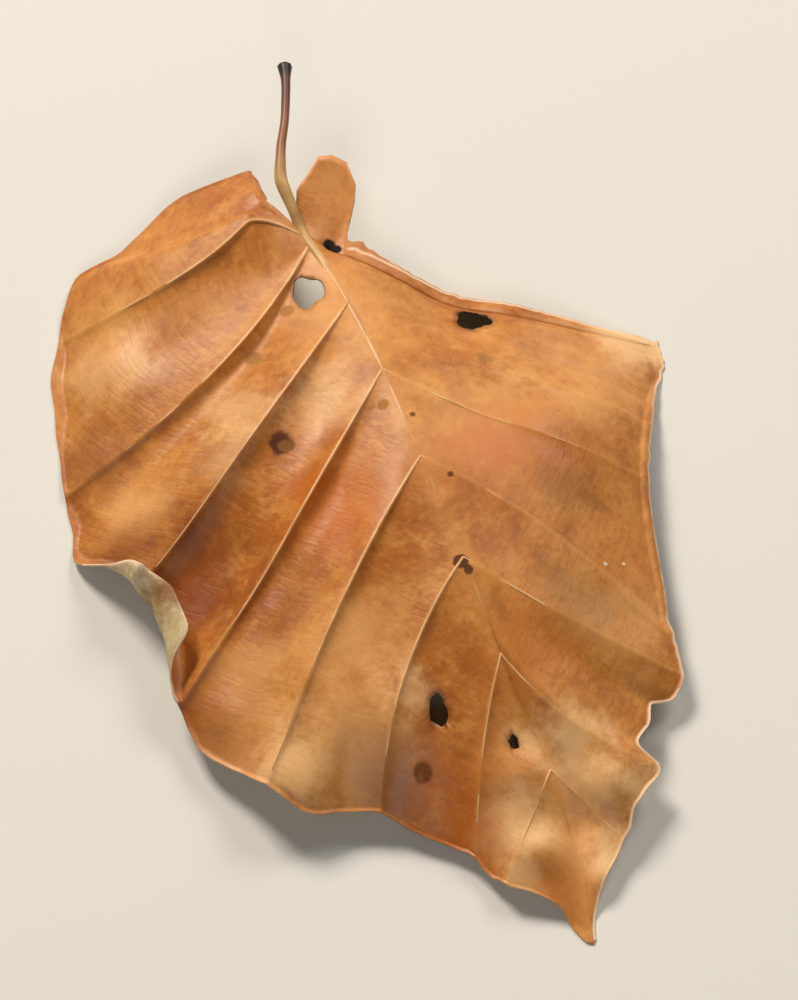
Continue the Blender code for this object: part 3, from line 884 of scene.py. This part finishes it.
def place_piece(name, mesh, materials):
    """Make a finished piece of a mesh in millimetres in the leaf's frame, and let it ride on the leaf."""
    mesh.transform(Matrix.Scale(MILLIMETRE, 4) @ Matrix.Translation(-CENTRE))
    data = bpy.data.meshes.new(name)
    mesh.to_mesh(data)
    mesh.free()
    data.shade_smooth()
    piece = bpy.data.objects.new(name, data)
    bpy.context.scene.collection.objects.link(piece)
    for material in materials:
        data.materials.append(material)
    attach(piece, "root")
    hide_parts("leaf")
    return piece


blade = place_piece("leaf_blade", sheet, (upper_face, under_face, under_face))
thickness = blade.modifiers.new("tissue_thickness", "SOLIDIFY")
thickness.thickness = BLADE_THICKNESS * MILLIMETRE
thickness.offset = 0.0
thickness.material_offset = 1
thickness.material_offset_rim = 1

# The side veins are woody strands that stand out of both faces. Each leaves the midrib thick and thins out
# towards the margin, and they are paler than the tissue between them.
VEIN_STEPS = 60
# How much of the way to the margin they go, their radius at the midrib as a length and a share of their rise
# out of the blade, and the share of it that is left at the margin
VEIN_REACH = 0.97
VEIN_START_RADIUS = 0.08
VEIN_RISE_SHARE = 0.32
VEIN_END_SHARE = 0.35
# How finely a strand is rounded, and how close doubled points lie
STRAND_ROUNDING = 2
DOUBLES_WITHIN = 0.001


def add_strand(mesh, path):
    """Add a round strand with closed ends through points, each a place and a radius."""
    curve = bpy.data.curves.new("strand", "CURVE")
    curve.dimensions = "3D"
    curve.bevel_depth = 1.0
    curve.bevel_resolution = STRAND_ROUNDING
    curve.use_fill_caps = True
    spline = curve.splines.new("POLY")
    spline.points.add(len(path) - 1)
    for point, (place, radius) in zip(spline.points, path):
        point.co = (*place, 1.0)
        point.radius = radius
    guide = bpy.data.objects.new("strand", curve)
    mesh.from_mesh(guide.to_mesh())
    bpy.data.objects.remove(guide)
    bmesh.ops.remove_doubles(mesh, verts=mesh.verts, dist=DOUBLES_WITHIN)
    bmesh.ops.recalc_face_normals(mesh, faces=mesh.faces)


veins = bmesh.new()
for side in (-1, 1):
    for vein in range(1, LAST_VEIN):
        rise = VEINS[side][vein][VEIN_RISE]
        if rise == 0.0:
            continue
        path = []
        for step in range(VEIN_STEPS + 1):
            out = VEIN_REACH * step / VEIN_STEPS
            radius = VEIN_START_RADIUS + VEIN_RISE_SHARE * rise
            radius *= 1.0 - (1.0 - VEIN_END_SHARE) * out
            path.append((blade_point(side, float(vein), out), radius))
        add_strand(veins, path)

# Mottles 3 mm long, as repeats in a metre
STRAND_MOTTLES = 350.0
WOOD_IOR = 1.5


def vein_tissue(name, tones, dullness, darker=()):
    """Dried vein strand: pale straw wood under a thin skin, slightly mottled, smoother than the tissue. It
    can darken in steps along Y: where each starts and ends in the leaf's frame, and its shade."""
    material = bpy.data.materials.new(name)
    material.use_nodes = True
    tree = material.node_tree
    shader = tree.nodes["Principled BSDF"]
    place = add_node(tree, "ShaderNodeTexCoord", {}, {}).outputs["Object"]
    mottle = add_node(
        tree, "ShaderNodeTexNoise", {}, {"Vector": place, "Scale": STRAND_MOTTLES, "Detail": 4.0}
    )
    mask = add_node(
        tree, "ShaderNodeMapRange", {}, {"Value": mottle.outputs["Fac"], "From Min": 0.35, "From Max": 0.65}
    )
    tone = add_node(
        tree, "ShaderNodeMix", {"data_type": "RGBA"},
        {MIX_FACTOR: mask.outputs["Result"], MIX_A: colour(tones[0]), MIX_B: colour(tones[1])},
    ).outputs[MIX_RESULT]
    along = add_node(tree, "ShaderNodeSeparateXYZ", {}, {"Vector": place}).outputs["Y"]
    for start, end, shade in darker:
        low, high = [(value - CENTRE.y) * MILLIMETRE for value in (start, end)]
        tone = add_shade(tree, tone, along, low, high, 1.0, shade)
    tree.links.new(tone, shader.inputs["Base Color"])
    shader.inputs["Roughness"].default_value = dullness
    shader.inputs["IOR"].default_value = WOOD_IOR
    return material


vein_strand = vein_tissue("dried_side_vein", tones=("#D69A5E", "#EDBC84"), dullness=0.38)
place_piece("leaf_side_veins", veins, (vein_strand,))

# The midrib is the stalk carried on down the middle of the blade, a low round band of the same wood that
# tapers to the tip. It grew with the blade, so most of it lies sunk in the tissue.
MIDRIB_STEPS = 160
# Its radius by vein number, the number at which it ends, and the share of the radius by which it is sunk
MIDRIB_RADII = ((0.0, 0.72), (1.0, 0.66), (4.0, 0.46), (7.0, 0.26), (9.0, 0.1))
MIDRIB_END = 8.97
MIDRIB_SINK = 0.75
midrib_path = []
for step in range(MIDRIB_STEPS + 1):
    number = MIDRIB_END * step / MIDRIB_STEPS
    place = midrib_point(number)
    radius = value_at(MIDRIB_RADII, number)[0]
    place.z += crumple(place.x, place.y) - MIDRIB_SINK * radius
    place.z = max(place.z, LOWEST_MIDDLE)
    midrib_path.append((place, radius))
midrib = bmesh.new()
add_strand(midrib, midrib_path)
midrib_strand = vein_tissue("dried_midrib", tones=("#C4864A", "#D89E64"), dullness=0.42)
place_piece("leaf_midrib", midrib, (midrib_strand,))

# The stalk is a short woody shoot, pale and swollen beside the blade, dark above it, and flared and almost
# black at the scar where it came off the twig. It runs on into the midrib.
# Its path as x, y and height, with its radius
STALK = (
    (-0.4, -9.0, 8.3, 0.4),
    (-0.6, -4.0, 7.6, 0.5),
    (-1.2, 0.0, 7.2, 0.52),
    (-1.4, 2.8, 8.2, 0.55),
    (-1.6, 5.2, 9.2, 0.64),
    (-0.6, 8.4, 9.6, 0.48),
    (1.1, 12.0, 9.4, 0.42),
    (2.7, 16.2, 8.8, 0.46),
    (3.3, 18.2, 8.4, 0.74),
)
STALK_STEPS = 12
stalk_knots = [(number, *place) for number, place in enumerate(STALK)]
stalk_path = []
for step in range((len(STALK) - 1) * STALK_STEPS + 1):
    x, y, height, radius = value_at(stalk_knots, step / STALK_STEPS)
    stalk_path.append((Vector((x, y, height)), radius))
stalk = bmesh.new()
add_strand(stalk, stalk_path)
# Its skin darkens in steps: brown, then red brown, then nearly black at the scar
STALK_DARKER = ((5.5, 9.5, "#8A4E22"), (10.0, 15.5, "#5A260C"), (16.2, 17.6, "#1C0E08"))
stalk_skin = vein_tissue("dried_stalk", tones=("#D6AC70", "#B4864C"), dullness=0.45, darker=STALK_DARKER)
place_piece("leaf_stalk", stalk, (stalk_skin,))

# The floor is a plain pale board, three metres across so that its edges never show. It is painted matt, so
# that it takes soft shadows and no shine.
FLOOR_HALF_WIDTH = 1.5
ground = bmesh.new()
bmesh.ops.create_grid(ground, x_segments=1, y_segments=1, size=FLOOR_HALF_WIDTH)
ground_data = bpy.data.meshes.new("floor")
ground.to_mesh(ground_data)
ground.free()
floor_piece = bpy.data.objects.new("floor", ground_data)
bpy.context.scene.collection.objects.link(floor_piece)
floor_material = bpy.data.materials.new("pale_floor")
floor_material.use_nodes = True
floor_shader = floor_material.node_tree.nodes["Principled BSDF"]
floor_shader.inputs["Base Color"].default_value = colour("#DEDBD5")
floor_shader.inputs["Roughness"].default_value = 0.8
ground_data.materials.append(floor_material)

# Soft studio light: a broad lamp behind the stalk, a weaker one on the right, the weakest beyond the tip
# and an even pale sky. The lamps and the camera aim at the middle of the leaf.
AIM = Vector((-0.0002, -0.0002, 0.006))


def soft_light(name, azimuth, height, distance, size, power, shade):
    """A square soft lamp that faces the leaf, by its bearing from +Y towards +X and its height, in degrees,
    its distance and size in metres and its power in watts."""
    lamp = bpy.data.lights.new(name, "AREA")
    lamp.size = size
    lamp.energy = power
    lamp.color = colour(shade)[:3]
    holder = bpy.data.objects.new(name, lamp)
    level = cos(radians(height)) * distance
    holder.location = AIM + Vector(
        (sin(radians(azimuth)) * level, cos(radians(azimuth)) * level, sin(radians(height)) * distance)
    )
    holder.rotation_euler = (AIM - holder.location).to_track_quat("-Z", "Y").to_euler()
    bpy.context.scene.collection.objects.link(holder)


soft_light("key_light", -10.0, 40.0, 1.0, 0.3, 10.2, "#FFF6E8")
soft_light("fill_light", 55.0, 38.0, 1.1, 0.4, 4.8, "#FFFBF4")
soft_light("tip_light", 205.0, 40.0, 1.1, 0.4, 3.0, "#FFFBF4")
sky = bpy.data.worlds.new("studio")
sky.use_nodes = True
sky.node_tree.nodes["Background"].inputs["Color"].default_value = colour("#F2F0EC")
sky.node_tree.nodes["Background"].inputs["Strength"].default_value = 0.07
bpy.context.scene.world = sky
bpy.context.scene.view_settings.view_transform = "Standard"

# The camera looks steeply down from the tip's side, a little from the left, so the tip points to the lower
# right. A long lens from a metre away keeps near and far parts of the leaf the same size.
CAMERA_AZIMUTH = -20.0
CAMERA_ELEVATION = 60.0
CAMERA_DISTANCE = 1.06
CAMERA_LENS = 400.0
CAMERA_SEES_TO = 20.0
camera_data = bpy.data.cameras.new("camera")
camera_data.lens = CAMERA_LENS
camera_data.clip_end = CAMERA_SEES_TO
camera = bpy.data.objects.new("camera", camera_data)
azimuth, elevation = radians(CAMERA_AZIMUTH), radians(CAMERA_ELEVATION)
back = Vector((sin(azimuth) * cos(elevation), -cos(azimuth) * cos(elevation), sin(elevation)))
camera.location = AIM + back * CAMERA_DISTANCE
camera.rotation_euler = back.to_track_quat("Z", "Y").to_euler()
bpy.context.scene.collection.objects.link(camera)
bpy.context.scene.camera = camera
